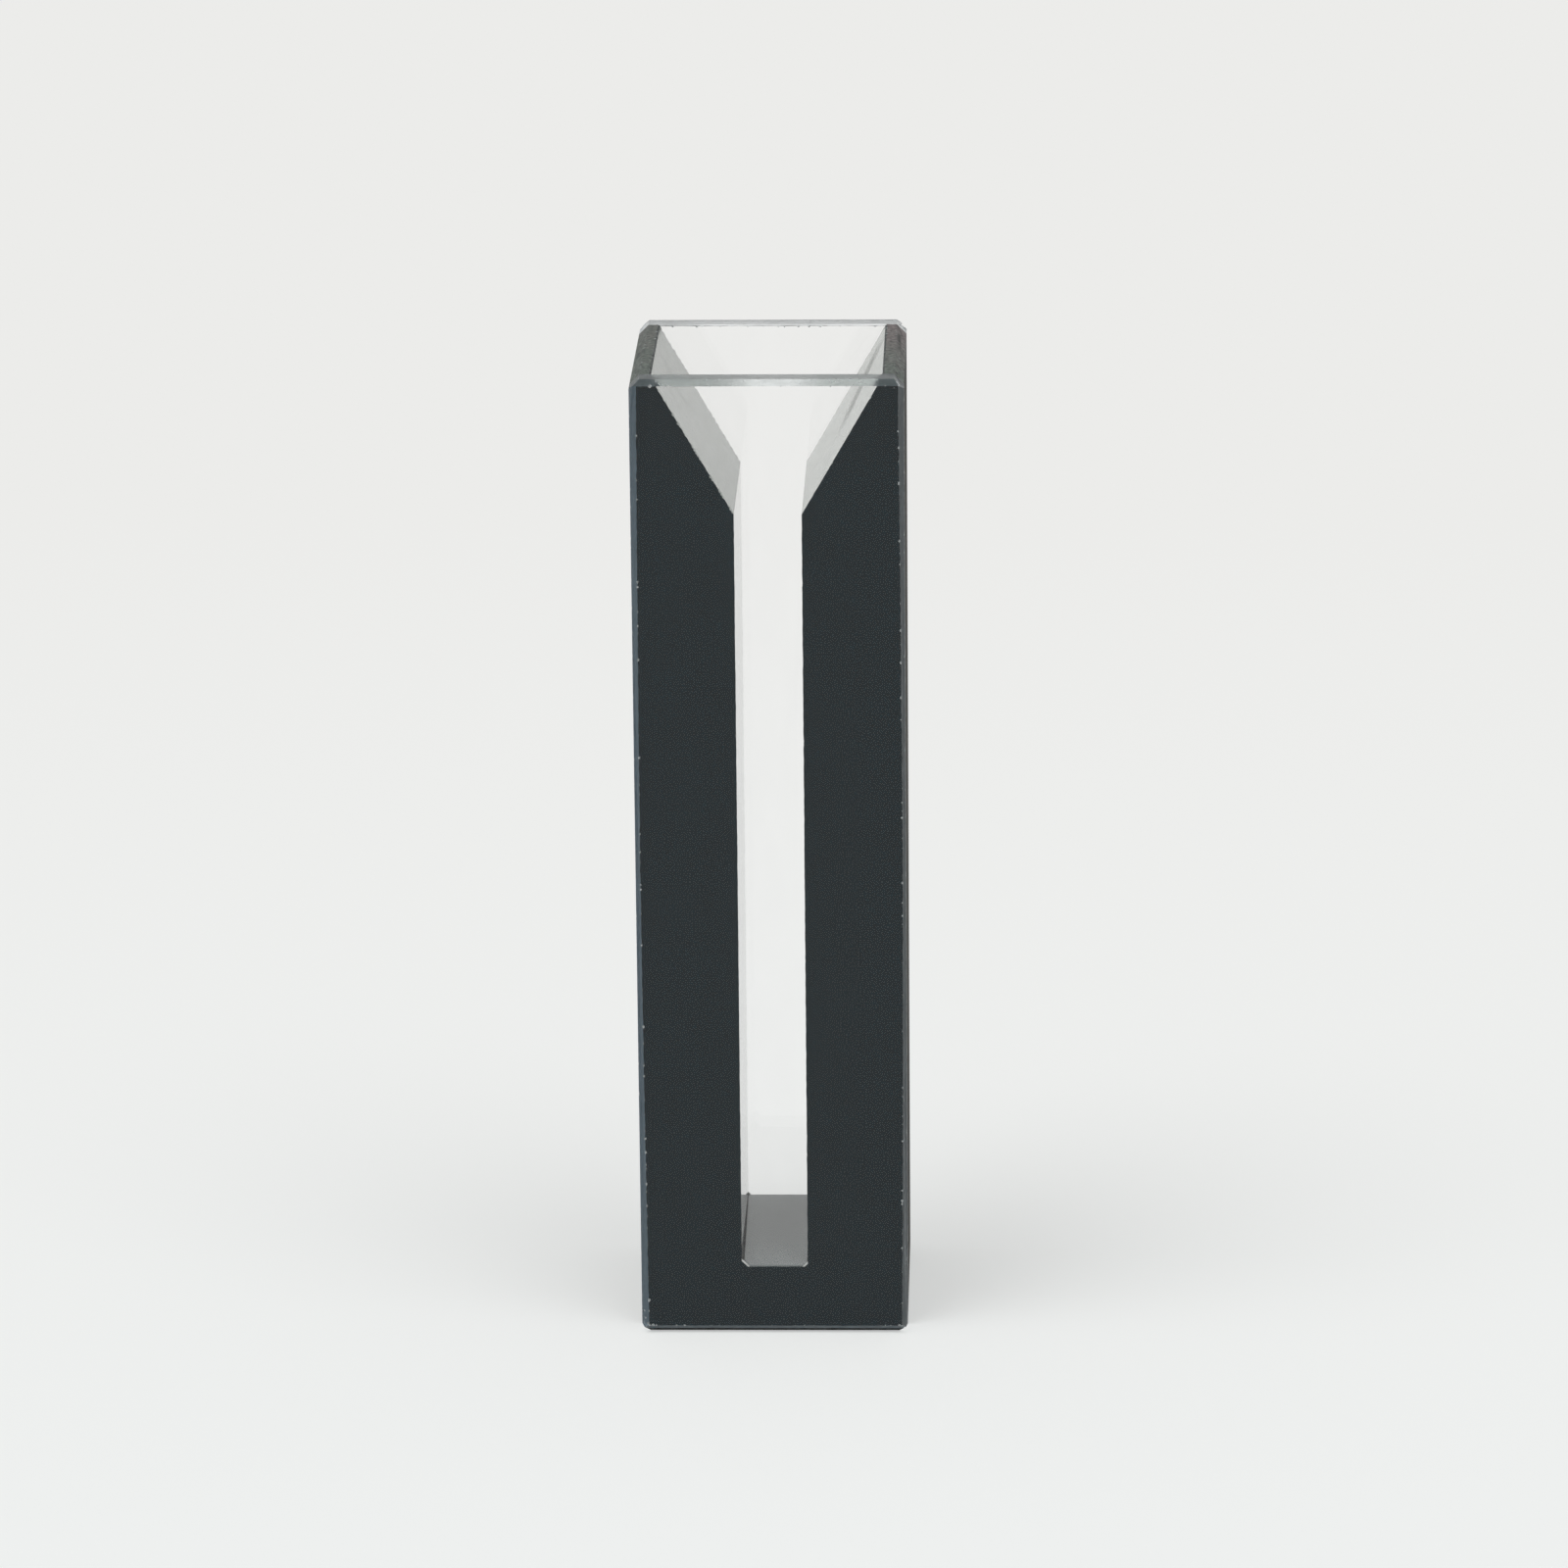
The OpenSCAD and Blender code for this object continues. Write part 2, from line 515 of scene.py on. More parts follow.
def worn_black_quartz(hues):
    """The walls' ground tops: mottled, and darker where the outer bevel starts.

    They are greenish, and browner towards the rear of the right wall.
    """
    made, tree = new_material("worn_black_quartz")
    brown = along(tree, "Y", -4.5, 5), along(tree, "X", -9, 6)
    brown = node(tree, "ShaderNodeMath", brown, operation="MULTIPLY")
    patches = {"Value": speckled(tree, 1.0, 0.3, 0.7), "To Min": -0.2, "To Max": 0.2}
    patches = node(tree, "ShaderNodeMapRange", patches)
    brown = node(tree, "ShaderNodeMath", (brown, patches), operation="ADD")

    line = outer_line(tree, 5.95, 0.2, speckled(tree, 1.6, 0.3, 0.7), 0.8)
    smudge = speckled(tree, 0.9, 0.4, 0.6, detail=3.0, stretch=(1, 0.35, 1))
    smudge = node(tree, "ShaderNodeMath", (smudge, line), operation="MULTIPLY")
    mottle = speckled(tree, 0.22, 0.3, 0.7, detail=3.0)
    hollows = {"Value": mottle, "To Min": 0.8, "To Max": -0.1}
    hollows = node(tree, "ShaderNodeMapRange", hollows)
    dark = node(tree, "ShaderNodeMath", (smudge, hollows), operation="MAXIMUM")
    dark = smeared(tree, dark, LAND_SMEARS, (0, 0, 1))
    tint = coated(tree, hues.land, (brown, hues.land_worn), (dark, hues.pit))
    finish_with(tree, tint, (dark, 0.47, 0.75), (mottle, 0.8, 0.02))
    return made


def black_arris(hues):
    """The fine ground bevel on the walls' inner edges, packed with black dust."""
    made, tree = new_material("black_quartz_arris")
    dust = speckled(tree, 0.3, 0.35, 0.65, detail=3.0)
    tint = coated(tree, hues.arris, (dust, hues.pit))
    finish_with(tree, tint, (dust, 0.5, 0.7), shine=0.45)
    return made


def chipped_quartz(name, hue, clear):
    """A fresh chip: small shell-shaped facets, paler than the face round it."""
    made, tree = new_material(name)
    facets = speckled(tree, 0.08, 0.35, 0.65, detail=1.0)
    tint = coated(tree, dimmed(hue, 0.7), (facets, hue))
    finish_with(tree, tint, 0.3, (facets, 0.7, 0.02), clear=clear)
    return made


def seen_directly(tree):
    """1 for the camera and for what glass or a shiny face shows it, and else 0."""
    path = node(tree, "ShaderNodeLightPath").outputs
    seen = path["Is Camera Ray"]
    for kind in ("Is Glossy Ray", "Is Transmission Ray"):
        seen = node(tree, "ShaderNodeMath", (seen, path[kind]), operation="MAXIMUM")
    return seen


def pale_card(near, far, glow):
    """A sheet of matt pale card, lit through from below, which pales its shadows."""
    made, tree = new_material("pale_card")
    hue = coated(tree, near, (along(tree, "Y", -40, 150), far))
    share = seen_directly(tree), glow
    share = node(tree, "ShaderNodeMath", share, operation="MULTIPLY")
    card = node(tree, "ShaderNodeBsdfDiffuse", {"Color": hue})
    lit = node(tree, "ShaderNodeEmission", {"Color": hue, "Strength": 1.0})
    surface = node(tree, "ShaderNodeMixShader", (share, card, lit))
    node(tree, "ShaderNodeOutputMaterial", {"Surface": surface})
    return made


# -------------------------------------------------------------------- wear

NICK_PITCH = 0.16  # length of edge that has room for one nick


def stray(distance, seed, reach):
    """How far a ground edge strays from its line at that distance along it.

    It sways a little over about 1.6 mm, and more over about 0.3 mm.
    """
    slow = noise.noise(Vector((distance / 1.6, seed, 0.5)))
    quick = noise.noise(Vector((distance / 0.3, seed, 7.5)))
    return reach * (0.3 * slow + 0.9 * quick)


def nick(distance, seed, share, deepest):
    """How deep a nick there is at that distance. share of the pitches have one."""
    cell = math.floor(distance / NICK_PITCH)
    # each pitch of each edge has draws of its own
    draw = random.Random(seed * 1009 + cell)
    if draw.random() > share:
        return 0.0
    depth = deepest * draw.random() ** 1.5
    place = 2 * (distance / NICK_PITCH - cell) - 1
    return depth * (1 - place * place)


# ------------------------------------------------------------------ shapes

LEFT, FLOOR, RIGHT, CORNER = "left", "floor", "right", "corner"
# how far up the slot's left and right bottom corners the bead reaches, by window
BEADS = {FRONT: (0.28, 0.14), REAR: (0.06, 0.1)}
BEAD_WIDTH = 0.1
WEAR_DEPTH = 0.2  # how far behind a window the wear of the funnel's edges fades out
SHARP = 0.3  # least angle between two faces that meet in a ground edge, in radians
CORNER_STEPS = 3  # segments of the slant in each of the slot's bottom corners
SEAM_SLANT = 0.009  # how much the floor's dark seam widens towards the front

# finishes of a window, of a black side wall, and of the floor block
POLISHED, GROUND, TOP_BEVEL, OUTER_BEVEL, BASE_BEVEL, FOOT, JOINT, BEAD = range(8)
LAPPED, SLOT_SIDE, LAND, SIDE, ARRIS, HIDDEN = range(6)
FLOOR_LAPPED, FLOOR_SEAM, FLOOR_HIDDEN = range(3)


class Shape:
    """The sizes and the wear that the pieces share, in millimetres."""

    def __init__(self, scene):
        sizes, wear = scene.cell_sizes, scene.cell_wear
        self.upright = sizes.upright_bevel * MM
        self.waist = sizes.upright_waist * MM
        self.lean = sizes.upright_lean * MM
        self.window_top = sizes.window_top_bevel * MM
        self.wall_top = sizes.wall_top_bevel * MM
        self.base = sizes.base_bevel * MM
        self.arris = sizes.arris * MM
        self.mouth = sizes.funnel_width * MM / 2
        slope = math.tan(sizes.funnel_lean)
        self.rim_z = HEIGHT - self.arris
        self.rim_x = self.mouth - self.arris * slope
        self.knee_z = HEIGHT - (self.mouth - HALF_SLOT) / slope
        self.floor_z = FLOOR_TOP - sizes.floor_arris * MM
        self.stray = wear.stray * MM
        self.nick = wear.nick * MM
        self.chip = wear.chip * MM
        self.spacing = wear.spacing * MM
        self.seed = wear.seed


def fused_outline(shape, end):
    """The edge where the black pieces meet a window, from left to right of the mouth.

    Each entry holds the piece, the straight place and the worn place, as (x, z).
    """
    left_bead, right_bead = BEADS[end]
    low = shape.floor_z
    stops = [
        (-shape.rim_x, shape.rim_z),
        (-HALF_SLOT, shape.knee_z),
        (-HALF_SLOT, low + left_bead),
        (left_bead - HALF_SLOT, low),
        (HALF_SLOT - right_bead, low),
        (HALF_SLOT, low + right_bead),
        (HALF_SLOT, shape.knee_z),
        (shape.rim_x, shape.rim_z),
    ]
    stops = [Vector(stop) for stop in stops]
    funnel = 2 * round((stops[0] - stops[1]).length / STEP)
    slot = round((shape.knee_z - low) / STEP)
    floor = round(2 * HALF_SLOT / STEP)
    # each part's owner and count of segments, the share of it that is nicked, and
    # how deep: the left slope is the worst
    parts = (
        (LEFT, funnel, 0.7, 1.0),
        (LEFT, slot, 0.05, 0.5),
        (CORNER, CORNER_STEPS, 0, 0),
        (FLOOR, floor, 0, 0),
        (CORNER, CORNER_STEPS, 0, 0),
        (RIGHT, slot, 0.05, 0.5),
        (RIGHT, funnel, 0.4, 0.5),
    )
    outline = [(LEFT, stops[0], stops[0])]
    for part, (owner, count, share, depth) in enumerate(parts):
        start = stops[part]
        run = stops[part + 1] - start
        into_black = Vector((run.y, -run.x)).normalized()
        seed = shape.seed + end * 10 + part
        for k in range(1, count + 1):
            distance = run.length * k / count
            shift = 0.0
            if k < count and owner != CORNER:
                shift = stray(distance, seed, shape.stray * 0.6)
                shift += nick(distance, seed, share, depth * shape.nick)
            place = start + run * (k / count)
            outline.append((owner, place, place + into_black * shift))
    return outline


def add_box(bm, low, high, finish):
    """Adds a box between two corners."""
    corners = [bm.verts.new(corner) for corner in itertools.product(*zip(low, high))]
    for ids in (
        (0, 1, 3, 2),
        (4, 6, 7, 5),
        (0, 4, 5, 1),
        (2, 3, 7, 6),
        (0, 2, 6, 4),
        (1, 5, 7, 3),
    ):
        bm.faces.new([corners[k] for k in ids]).material_index = finish
    bm.normal_update()


def grind(bm, place, facing, finish):
    """Takes off what lies beyond a plane, and gives the new flat its finish."""
    cut = bmesh.ops.bisect_plane(
        bm,
        geom=bm.verts[:] + bm.edges[:] + bm.faces[:],
        dist=1e-6,
        plane_co=place,
        plane_no=Vector(facing).normalized(),
        clear_outer=True,
    )
    rim = [e for e in cut["geom_cut"] if isinstance(e, bmesh.types.BMEdge)]
    bmesh.ops.edgeloop_fill(bm, edges=rim, mat_nr=finish)
    bm.normal_update()


def vert_on(edge, place):
    """Splits an edge at the place nearest to that one, and returns the new vertex."""
    start = edge.verts[0]
    run = edge.verts[1].co - start.co
    share = (Vector(place) - start.co).dot(run) / run.length_squared
    return bmesh.utils.edge_split(edge, start, share)[1]


def edge_through(face, place):
    """The face's edge that passes through a place."""

    def apart(edge):
        """How much longer the way over the place is than the edge."""
        a, b = (v.co for v in edge.verts)
        return (a - place).length + (b - place).length - (a - b).length

    place = Vector(place)
    return min(face.edges, key=apart)


def roughen(edge, side, seed, reach, wider=None):
    """Splits a straight edge finely, and lets it stray to either side.

    wider gives how far the edge also lies to that side, at a place along it.
    """
    a, b = edge.verts
    run = b.co - a.co
    side = Vector(side).normalized()
    count = max(2, round(run.length / STEP))
    start, origin, far = a, a.co.copy(), b
    for k in range(1, count):
        made = bmesh.utils.edge_split(edge, start, 1 / (count - k + 1))[1]
        edge = next(e for e in made.link_edges if e.other_vert(made) is far)
        made.co = origin + run * (k / count)
        shift = stray(run.length * k / count, seed, reach)
        if wider:
            shift += wider(made.co)
        made.co += side * shift
        start = made
    if wider:
        for end in (a, b):
            end.co += side * wider(end.co)


def face_towards(bm, way):
    """The largest face that looks that way."""
    way = Vector(way)
    faces = [f for f in bm.faces if f.normal.dot(way) > 0.999]
    return max(faces, key=lambda f: f.calc_area())


def split_face(face, first, last, places):
    """Splits a face along a line of places, and returns its two parts."""
    new = bmesh.utils.face_split(face, first, last, coords=places)[0]
    return face, new


def lowest(face):
    """How high the face's lowest corner is."""
    return min(v.co.z for v in face.verts)


def nearest(face, place):
    """The face's vertex that is nearest to a place."""
    return min(face.verts, key=lambda v: (v.co - Vector(place)).length)


def seat_window(bm, shape, end):
    """Parts a window's inner face and its top where the black pieces are fused on.

    It gives the inner top edge its arris, between the two walls.
    """
    y = -HALF_PATH
    inner = face_towards(bm, (0, 1, 0))
    tops = []
    for side in (-1, 1):
        rim_end = (side * (shape.mouth + shape.arris), y, HEIGHT)
        tops.append(vert_on(edge_through(inner, rim_end), rim_end))
    rim_edge = edge_through(inner, (0, y, HEIGHT))
    worn = [Vector((p.x, y, p.y)) for _, _, p in fused_outline(shape, end)]
    fused, clear = sorted(split_face(inner, *tops, worn), key=lowest)
    fused.material_index = JOINT
    clear.material_index = POLISHED

    count = round(2 * shape.rim_x / STEP)
    spread = [shape.rim_x * (2 * k / count - 1) for k in range(1, count)]
    drop, back = (
        [stray(x, shape.seed + end + more, shape.stray) for x in spread]
        for more in (0, 50)
    )
    rim = [(x, y, shape.rim_z + d) for x, d in zip(spread, drop)]
    split_face(clear, nearest(clear, worn[0]), nearest(clear, worn[-1]), rim)
    rim = [(x, y - shape.arris + d, HEIGHT) for x, d in zip(spread, back)]
    split_face(face_towards(bm, (0, 0, 1)), *tops, rim)
    bmesh.ops.dissolve_edges(bm, edges=[rim_edge], use_verts=False)


def add_beads(bm, shape, end):
    """Puts the pale beads in the slot's two bottom corners, against a window."""
    clear = min(
        (f for f in bm.faces if f.normal.y > 0.999 and f.material_index == POLISHED),
        key=lowest,
    )
    for side, reach in zip((-1, 1), BEADS[end]):
        reach += BEAD_WIDTH
        up = (side * HALF_SLOT, -HALF_PATH, shape.floor_z + reach)
        inward = (side * (HALF_SLOT - reach), -HALF_PATH, shape.floor_z)
        parts = split_face(clear, nearest(clear, up), nearest(clear, inward), [])
        bead, clear = sorted(parts, key=lambda f: f.calc_area())
        bead.material_index = BEAD


def window_mesh(shape, end):
    """A window as a bmesh, at the front, with its fused seat and its ground edges."""
    bm = bmesh.new()
    add_box(bm, (-HALF_W, -HALF_D, 0), (HALF_W, -HALF_PATH, HEIGHT), GROUND)
    grind(bm, (0, -HALF_D, HEIGHT - shape.window_top), (0, -1, 1), TOP_BEVEL)
    grind(bm, (0, -HALF_D, shape.base), (0, -1, -1), BASE_BEVEL)
    # a steeper facet at the foot, which takes the foot's painted shade
    grind(bm, (0, shape.base - FOOT_Z - HALF_D, FOOT_Z), (0, -3, -4), FOOT)
    narrow = {}
    for side in (-1, 1):
        narrow[side] = shape.upright - shape.waist - side * shape.lean
        grind(bm, (side * HALF_W, 0, HEIGHT - shape.wall_top), (side, 0, 1), GROUND)
        grind(bm, (side * HALF_W, 0, shape.base), (side, 0, -1), GROUND)
        corner = (side * (HALF_W - narrow[side]), -HALF_D, 0)
        grind(bm, corner, (side, -1, 0), OUTER_BEVEL)
    bmesh.ops.recalc_face_normals(bm, faces=bm.faces[:])
    seat_window(bm, shape, end)
    add_beads(bm, shape, end)

    def wider(place):
        """How much wider than at mid-height an upright bevel is at a place."""
        return shape.waist * abs(2 * place.z / HEIGHT - 1) ** 1.5

    outer = face_towards(bm, (0, -1, 0))
    outer.material_index = POLISHED
    for side in (-1, 1):
        corner = (side * (HALF_W - narrow[side]), -HALF_D, HEIGHT / 2)
        edge = edge_through(outer, corner)
        roughen(edge, (-side, 0, 0), shape.seed + end + side, shape.stray, wider)
        corner = (side * HALF_W, narrow[side] - HALF_D, HEIGHT / 2)
        edge = edge_through(face_towards(bm, (side, 0, 0)), corner)
        roughen(edge, (0, 1, 0), shape.seed + end * 2 + side, shape.stray, wider)
    for z in (shape.base, HEIGHT - shape.window_top):
        edge = edge_through(outer, (0, -HALF_D, z))
        roughen(edge, (0, 0, 1), shape.seed + end * 3 + round(z), 0.5 * shape.stray)
    corner = (0, shape.window_top - HALF_D, HEIGHT)
    edge = edge_through(face_towards(bm, (0, 0, 1)), corner)
    roughen(edge, (0, 1, 0), shape.seed + end * 5, 0.5 * shape.stray)
    bmesh.ops.recalc_face_normals(bm, faces=bm.faces[:])
    if end == REAR:
        bmesh.ops.scale(bm, vec=(1, -1, 1), verts=bm.verts[:])
        bmesh.ops.reverse_faces(bm, faces=bm.faces[:])
        bm.normal_update()
    return bm


def wall_stations(shape, side):
    """Where along Y a wall's section changes, each with its inner outline there."""
    owner = LEFT if side < 0 else RIGHT
    stations = []
    for end, sign in ((FRONT, -1), (REAR, 1)):
        outline = fused_outline(shape, end)
        part = [entry for entry in outline if entry[0] == owner]
        if side > 0:
            part.insert(0, [entry for entry in outline if entry[0] == CORNER][-1])
        else:
            part.reverse()
        straight, worn = ([entry[k] for entry in part] for k in (1, 2))
        y = sign * (HALF_PATH - GAP)
        pair = [(y, worn), (y - sign * WEAR_DEPTH, straight)]
        stations += pair if sign < 0 else pair[::-1]
    return stations


def wall_mesh(shape, side):
    """A black side wall as a bmesh, its worn edges the same as the windows' seats."""
    stations = wall_stations(shape, side)
    bm = bmesh.new()
    rings = []
    for y, inside in stations:
        ring = [(p.x, y, p.y) for p in inside]
        ring += [
            (side * (shape.mouth + shape.arris), y, HEIGHT),
            (side * HALF_W, y, HEIGHT),
            (side * HALF_W, y, 0),
            (side * HALF_SLOT, y, 0),
        ]
        rings.append([bm.verts.new(co) for co in ring])
    # the finish of each strip from a ring's point to its next point
    straight = stations[1][1]
    finishes = [
        SLOT_SIDE if place.y < shape.knee_z + 1e-6 else LAPPED for place in straight[1:]
    ]
    finishes += [ARRIS, LAND, SIDE, SIDE, SLOT_SIDE]
    for ring in (rings[0], rings[-1]):
        bm.faces.new(ring).material_index = HIDDEN
    for near, far in zip(rings, rings[1:]):
        for k, finish in enumerate(finishes):
            n = (k + 1) % len(near)
            bm.faces.new((near[k], near[n], far[n], far[k])).material_index = finish
    bm.normal_update()
    top = (side * HALF_W, 0, HEIGHT - shape.wall_top)
    grind(bm, top, (side, 0, 1), LAND)
    grind(bm, (side * HALF_W, 0, shape.base), (side, 0, -1), SIDE)
    bmesh.ops.recalc_face_normals(bm, faces=bm.faces[:])
    for k, edge in enumerate(list(bm.edges)):
        a, b = edge.verts
        ground = [f.material_index in (LAND, SIDE, ARRIS) for f in edge.link_faces]
        level = abs(a.co.z - b.co.z) < 1e-6 and abs(a.co.x - b.co.x) < 1e-6
        if all(ground) and level and edge.calc_face_angle(0) > SHARP:
            flat = max(edge.link_faces, key=lambda f: max(abs(c) for c in f.normal))
            run = b.co - a.co
            roughen(edge, flat.normal.cross(run), shape.seed + k, shape.stray)
    bm.normal_update()
    return bm


def floor_mesh(shape):
    """The black floor block as a bmesh, with a fine arris round its top."""
    bm = bmesh.new()
    half_x, half_y = HALF_SLOT - GAP, HALF_PATH - GAP
    add_box(bm, (-half_x, -half_y, 0), (half_x, half_y, FLOOR_TOP), FLOOR_HIDDEN)
    face_towards(bm, (0, 0, 1)).material_index = FLOOR_LAPPED
    for x, y in ((1, 0), (0, 1), (0, -1)):
        corner = (x * half_x, y * half_y, shape.floor_z)
        grind(bm, corner, (x, y, 1), FLOOR_LAPPED)
    # the seam by the left wall is dark, and widens towards the front
    grind(bm, (-half_x, 0, shape.floor_z), (-1, -SEAM_SLANT, 1), FLOOR_SEAM)
    bmesh.ops.recalc_face_normals(bm, faces=bm.faces[:])
    top = face_towards(bm, (0, 0, 1))
    for k, edge in enumerate(list(top.edges)):
        run = edge.verts[1].co - edge.verts[0].co
        sideways = top.normal.cross(run)
        roughen(edge, sideways, shape.seed + 70 + k, shape.stray * 0.5)
    bm.normal_update()
    return bm


# ------------------------------------------------------------------- chips

TO_METRES = Matrix.Scale(1 / MM, 4)
ABOVE_FLOOR = 0.01  # an edge that reaches no higher than this lies on the floor
MOUTH_IN = 1.0  # the mouth's edges are at least this far inside the outer faces
BASE_REACH = 2.5  # how far from a bottom corner the edges are worn more


def chip_tree():
    """Geometry Nodes that set small lumps along lines, to be cut out as chips."""
    tree = bpy.data.node_groups.new("edge_chips", "GeometryNodeTree")
    for name, way, kind in (
        ("Lines", "INPUT", "Geometry"),
        ("Spacing", "INPUT", "Float"),
        ("Largest", "INPUT", "Float"),
        ("Seed", "INPUT", "Int"),
        ("Material", "INPUT", "Material"),
        ("Chips", "OUTPUT", "Geometry"),
    ):
        tree.interface.new_socket(name, in_out=way, socket_type="NodeSocket" + kind)
    given = node(tree, "NodeGroupInput").outputs

    def drawn(draw, low, high):
        """A random number at each point, or a vector where low and high are vectors."""
        seed = given["Seed"], float(draw)
        seed = node(tree, "ShaderNodeMath", seed, operation="ADD")
        kind, first = ("FLOAT_VECTOR", 0) if isinstance(low, tuple) else ("FLOAT", 2)
        span = {first: low, first + 1: high, "Seed": seed}
        return node(tree, "FunctionNodeRandomValue", span, data_type=kind)

    lines = node(tree, "GeometryNodeMeshToCurve", {"Mesh": given["Lines"]})
    lines = {"Curve": lines, "Length": given["Spacing"]}
    lines = node(tree, "GeometryNodeResampleCurve", lines, mode="LENGTH")
    points = node(tree, "GeometryNodeCurveToPoints", {"Curve": lines}, mode="EVALUATED")
    wear, outward = (
        node(tree, "GeometryNodeInputNamedAttribute", {"Name": name}, data_type=kind)
        for name, kind in (("wear", "FLOAT"), ("outward", "FLOAT_VECTOR"))
    )
    # most chips are small: their share of the largest size is a draw cubed
    share = node(tree, "ShaderNodeMath", (drawn(1, 0.3, 1.0), 3.0), operation="POWER")
    largest = given["Largest"], wear
    largest = node(tree, "ShaderNodeMath", largest, operation="MULTIPLY")
    size = node(tree, "ShaderNodeMath", (share, largest), operation="MULTIPLY")

    # each is lifted off its edge and slid along it
    lift = size, drawn(2, 0.2, 0.7)
    lift = node(tree, "ShaderNodeMath", lift, operation="MULTIPLY")
    lift = {"Vector": outward, "Scale": lift}
    slide = given["Spacing"], drawn(3, -0.5, 0.5)
    slide = node(tree, "ShaderNodeMath", slide, operation="MULTIPLY")
    slide = {"Vector": points.outputs["Tangent"], "Scale": slide}
    lift, slide = (
        node(tree, "ShaderNodeVectorMath", way, operation="SCALE")
        for way in (lift, slide)
    )
    shift = node(tree, "ShaderNodeVectorMath", (lift, slide), operation="ADD")
    scattered = {"Geometry": points, "Offset": shift}

    # lumps of that size, stretched by up to 0.4 of it and turned by up to 6.28 radians
    round_lump = {"Radius": 1.0, "Subdivisions": 2}
    stretch = {"Vector": drawn(4, (0.6, 0.6, 0.6), (1.4, 1.4, 1.4)), "Scale": size}
    lumps = {
        "Points": node(tree, "GeometryNodeSetPosition", scattered),
        "Instance": node(tree, "GeometryNodeMeshIcoSphere", round_lump),
        "Rotation": drawn(5, (0.0, 0.0, 0.0), (6.28, 6.28, 6.28)),
        "Scale": node(tree, "ShaderNodeVectorMath", stretch, operation="SCALE"),
    }
    lumps = node(tree, "GeometryNodeInstanceOnPoints", lumps)
    lumps = node(tree, "GeometryNodeRealizeInstances", {"Geometry": lumps})
    lumps = {"Geometry": lumps, "Material": given["Material"]}
    lumps = node(tree, "GeometryNodeSetMaterial", lumps)
    node(tree, "NodeGroupOutput", {"Chips": lumps})
    return tree


def wear_at(place):
    """How large chips are there: smallest round the mouth, largest at the base."""
    if abs(place.x) < HALF_W - MOUTH_IN and abs(place.y) < HALF_PATH + 0.5:
        return 0.5
    corner = Vector((HALF_W, HALF_D, 0))
    apart = Vector((abs(place.x), abs(place.y), place.z)) - corner
    return 1.0 + 0.4 * max(0.0, 1.0 - apart.length / BASE_REACH)


def ground_lines(bm, hidden):
    """The piece's ground edges as a mesh of lines, without those on the floor.

    Each point holds its way outwards, and how much the edge is worn there.
    """
    lines = bm.copy()
    seen = [
        e
        for e in lines.edges
        if len(e.link_faces) == 2
        and e.calc_face_angle(0) > SHARP
        and not any(f.material_index in hidden for f in e.link_faces)
        and max(v.co.z for v in e.verts) > ABOVE_FLOOR
    ]
    outward = lines.verts.layers.float_vector.new("outward")
    wear = lines.verts.layers.float.new("wear")
    for vert in lines.verts:
        vert[outward] = vert.normal
        vert[wear] = wear_at(vert.co)
    for face in lines.faces[:]:
        lines.faces.remove(face)
    for edge in set(lines.edges) - set(seen):
        lines.edges.remove(edge)
    for vert in [v for v in lines.verts if not v.link_edges]:
        lines.verts.remove(vert)
    mesh = bpy.data.meshes.new("ground_lines")
    lines.to_mesh(mesh)
    lines.free()
    return mesh


def linked(name, held):
    """A new object in the scene, which holds a mesh, a lamp or a camera."""
    made = bpy.data.objects.new(name, held)
    bpy.context.scene.collection.objects.link(made)
    return made


def piece_of(name, bm, materials):
    """A new object in the scene from a bmesh, which it uses up, and its materials."""
    mesh = bpy.data.meshes.new(name)
    bm.to_mesh(mesh)
    bm.free()
    for material in materials:
        mesh.materials.append(material)
    return linked(name, mesh)


def evaluated_mesh(obj):
    """The object's mesh with its modifiers applied, as a mesh of its own."""
    graph = bpy.context.evaluated_depsgraph_get()
    return bpy.data.meshes.new_from_object(obj.evaluated_get(graph), depsgraph=graph)


def chip_lumps(lines, shape, seed, material, spots):
    """The lumps to cut from a piece, along its ground edges and at chosen spots."""
    carrier = linked("chip_lines", lines)
    modifier = carrier.modifiers.new("chips", "NODES")
    modifier.node_group = bpy.data.node_groups.get("edge_chips") or chip_tree()
    values = {
        "Spacing": shape.spacing,
        "Largest": shape.chip,
        "Seed": shape.seed * 100 + seed,
        "Material": material,
    }
    for item in modifier.node_group.interface.items_tree:
        if item.name in values:
            modifier[item.identifier] = values[item.name]
    mesh = evaluated_mesh(carrier)
    bpy.data.objects.remove(carrier)
    bm = bmesh.new()
    bm.from_mesh(mesh)
    finish = len(mesh.materials) - 1
    for x, y, z, radius in spots:
        place = Matrix.Translation((x, y, z))
        lump = bmesh.ops.create_icosphere(
            bm, subdivisions=1, radius=radius, matrix=place
        )
        for face in {face for vert in lump["verts"] for face in vert.link_faces}:
            face.material_index = finish
    bm.to_mesh(mesh)
    bm.free()
    return linked("chip_lumps", mesh)


def chipped_piece(name, bm, materials, hidden, shape, seed, chip):
    """A piece from its bmesh, chipped along its ground edges and put in metres."""
    lumps = chip_lumps(ground_lines(bm, hidden), shape, seed, chip, SPOTS[name])
    obj = piece_of(name, bm, materials)
    cut = obj.modifiers.new("chips", "BOOLEAN")
    cut.object = lumps
    cut.operation = "DIFFERENCE"
    cut.solver = "EXACT"
    cut.use_self = True
    cut.material_mode = "TRANSFER"
    chipped = evaluated_mesh(obj)
    obj.modifiers.clear()
    obj.data = chipped
    chipped.name = name
    bpy.data.objects.remove(lumps)
    chipped.transform(TO_METRES)
    chipped.update()
    return obj


def dress(obj, cad_node):
    """The piece stands for a CAD node: it hides that node, and hangs under the root."""
    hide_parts(cad_node)
    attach(obj, "root")


# --------------------------------------------------------------- operators

